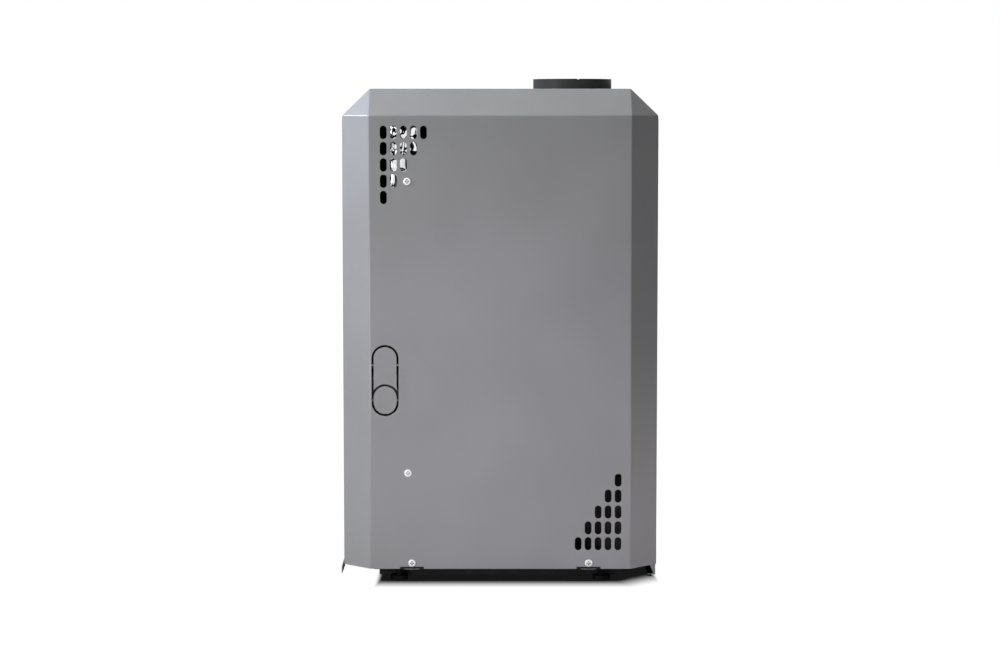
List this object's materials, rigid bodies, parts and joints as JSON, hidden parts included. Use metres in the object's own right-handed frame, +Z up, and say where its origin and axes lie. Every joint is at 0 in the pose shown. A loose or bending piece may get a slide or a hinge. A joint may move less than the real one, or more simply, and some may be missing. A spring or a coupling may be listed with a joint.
{
  "type": "gas boiler",
  "caption": "Floor-standing gas boiler: bevelled sheet-steel casing with vent slots and gas knock-outs, round top flue socket, hinged door, and a water-jacketed exchanger over a bar burner.",
  "frame": {"origin": "on the floor, under the middle of the casing", "axes": "+Z up, the door faces -Y, +X is the side shown in the picture"},
  "size_m": [0.4048, 0.506, 0.7954],
  "materials": {
    "casing_paint": "smooth grey metallic paint with a low sheen",
    "black_paint": "black paint",
    "zinc_steel": "zinc-plated sheet steel",
    "boiler_steel": "dark primed plate steel",
    "burner_steel": "stainless steel, slightly heat-tinted",
    "brass": "bare turned brass",
    "copper": "bare copper tube",
    "cast_alloy": "die-cast alloy",
    "foil": "mineral wool slab with a crumpled foil face",
    "wool": "mineral wool blanket",
    "black_plastic": "fine-grained black plastic",
    "red_plastic": "glossy red plastic",
    "foot_rubber": "matt black rubber",
    "glass": "clear glass",
    "white_ceramic": "plain white ceramic",
    "silicone": "red-brown silicone sleeve",
    "needle_paint": "red enamel"
  },
  "bodies": {
    "casing": {"right_side_cover": "casing_paint", "left_side_cover": "casing_paint", "top_lid": "casing_paint", "rear_panel": "casing_paint", "base_frame": "black_paint", "flue_socket": "black_paint", "right_post": "zinc_steel", "left_post": "zinc_steel", "side_cover_screws": "zinc_steel", "rear_panel_screws": "zinc_steel", "door_hinge_brackets": "zinc_steel", "door_hinge_pins": "zinc_steel", "draught_diverter": "zinc_steel", "diverter_baffle": "zinc_steel", "burner_rear_support": "zinc_steel", "burner_front_plate": "zinc_steel", "valve_standoffs": "zinc_steel", "sight_cover_pivot": "zinc_steel", "control_panel": "zinc_steel", "gas_manifold": "zinc_steel", "exchanger_shell": "boiler_steel", "exchanger_top_plate": "boiler_steel", "firebox": "boiler_steel", "exchanger_bottom_ring": "boiler_steel", "fire_tubes": "boiler_steel", "flow_socket": "boiler_steel", "return_socket": "boiler_steel", "right_stand_plate": "boiler_steel", "left_stand_plate": "boiler_steel", "turbulators": "burner_steel", "burner_bars": "burner_steel", "thermocouple": "burner_steel", "sensor_pockets": "brass", "drain_cock": "brass", "injectors": "brass", "pilot_burner": "brass", "thermostat_capillary": "copper", "thermometer_capillary": "copper", "gas_supply_pipe": "copper", "pilot_tube": "copper", "gas_valve_body": "cast_alloy", "insulation_front": "foil", "insulation_wrap": "wool", "door_magnet": "black_plastic", "thermometer_case": "black_plastic", "igniter_body": "black_plastic", "feet": "foot_rubber", "sight_glass": "glass", "thermometer_glass": "glass", "ignition_electrode": "white_ceramic", "ignition_cable": "silicone"},
    "door": {"front_door": "casing_paint"},
    "spindle": {"gas_spindle": "zinc_steel"},
    "knob": {"gas_knob": "black_plastic"},
    "button": {"igniter_button": "red_plastic"},
    "needle": {"thermometer_needle": "needle_paint"},
    "sight_flap": {"sight_cover": "zinc_steel"},
    "drain_handle": {"drain_lever": "red_plastic"}
  },
  "joints": [
    {"name": "door_swing", "type": "hinge", "parent": "casing", "child": "door", "pos_m": [-0.14519, -0.2445, 0.3675], "axis": [0, 0, -1], "range_deg": [0, 105]},
    {"name": "spindle_turn", "type": "hinge", "parent": "casing", "child": "spindle", "pos_m": [-0.022, -0.212, 0.28905], "axis": [0, 1, 0], "range_deg": [0, 270]},
    {"name": "knob_press", "type": "slide", "parent": "spindle", "child": "knob", "axis": [0, 1, 0], "range_m": [0, 0.005], "stiffness_N_per_m": 2000},
    {"name": "button_press", "type": "slide", "parent": "casing", "child": "button", "axis": [0, 1, 0], "range_m": [0, 0.003], "stiffness_N_per_m": 2000},
    {"name": "needle_turn", "type": "hinge", "parent": "casing", "child": "needle", "pos_m": [0, -0.236, 0.64], "axis": [0, 1, 0], "range_deg": [0, 270], "stiffness_Nm_per_rad": 0.002},
    {"name": "sight_swing", "type": "hinge", "parent": "casing", "child": "sight_flap", "pos_m": [0.078, -0.1335, 0.154], "axis": [0, 1, 0], "range_deg": [-60, 100]},
    {"name": "drain_turn", "type": "hinge", "parent": "casing", "child": "drain_handle", "pos_m": [0.104, -0.152, 0.1993], "axis": [0, 0, -1], "range_deg": [0, 90]}
  ]
}
